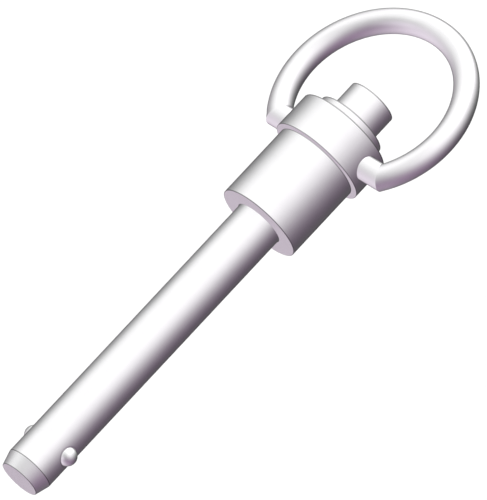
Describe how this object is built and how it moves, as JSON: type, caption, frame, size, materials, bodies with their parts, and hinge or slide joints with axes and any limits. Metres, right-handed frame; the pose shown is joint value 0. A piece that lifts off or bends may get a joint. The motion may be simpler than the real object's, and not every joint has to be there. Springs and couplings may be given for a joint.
{
  "type": "ball lock hitch pin",
  "caption": "Straight steel hitch pin with spring-loaded locking balls at the tip, a stepped head, a push button that frees them and a swinging pull ring.",
  "frame": {"origin": "centre of the shoulder face that seats against the hitch, on the pin's axis", "axes": "+X along the pin from the tip to the button, Y along the pull ring's pivot, +Z square to the ring at rest"},
  "size_m": [0.1217, 0.042, 0.02],
  "materials": {
    "polished_shank": "polished",
    "turned_head": "fine turned, polished",
    "polished_button": "polished",
    "ring_wire": "polished wire",
    "hard_ball": "mirror",
    "inner_steel": "as turned",
    "spring_steel": "drawn wire"
  },
  "bodies": {
    "housing": {"shank": "polished_shank", "shoulder_body": "turned_head", "ring_collar": "turned_head", "guide_bush": "turned_head", "snap_ring": "spring_steel", "spring_washer": "inner_steel", "return_spring": "spring_steel"},
    "plunger": {"push_button": "polished_button", "spindle": "inner_steel"},
    "ball_right": {"locking_ball_right": "hard_ball"},
    "ball_left": {"locking_ball_left": "hard_ball"},
    "ring": {"pull_ring": "ring_wire"}
  },
  "joints": [
    {"name": "button_press", "type": "slide", "parent": "housing", "child": "plunger", "axis": [-1, 0, 0], "range_m": [0, 0.003], "stiffness_N_per_m": 1500, "springref_m": -0.002, "deforming": ["return_spring"]},
    {"name": "ball_right_sink", "type": "slide", "parent": "housing", "child": "ball_right", "axis": [0, 1, 0], "range_m": [0, 0.0015]},
    {"name": "ball_left_sink", "type": "slide", "parent": "housing", "child": "ball_left", "axis": [0, -1, 0], "range_m": [0, 0.0015]},
    {"name": "ring_swing", "type": "hinge", "parent": "housing", "child": "ring", "pos_m": [0.0205, 0, 0], "axis": [0, 1, 0], "range_deg": [-165, 165]}
  ],
  "couplings": [
    {"joint": "ball_right_sink", "follows": "button_press", "ratio": 0.5},
    {"joint": "ball_left_sink", "follows": "button_press", "ratio": 0.5}
  ]
}
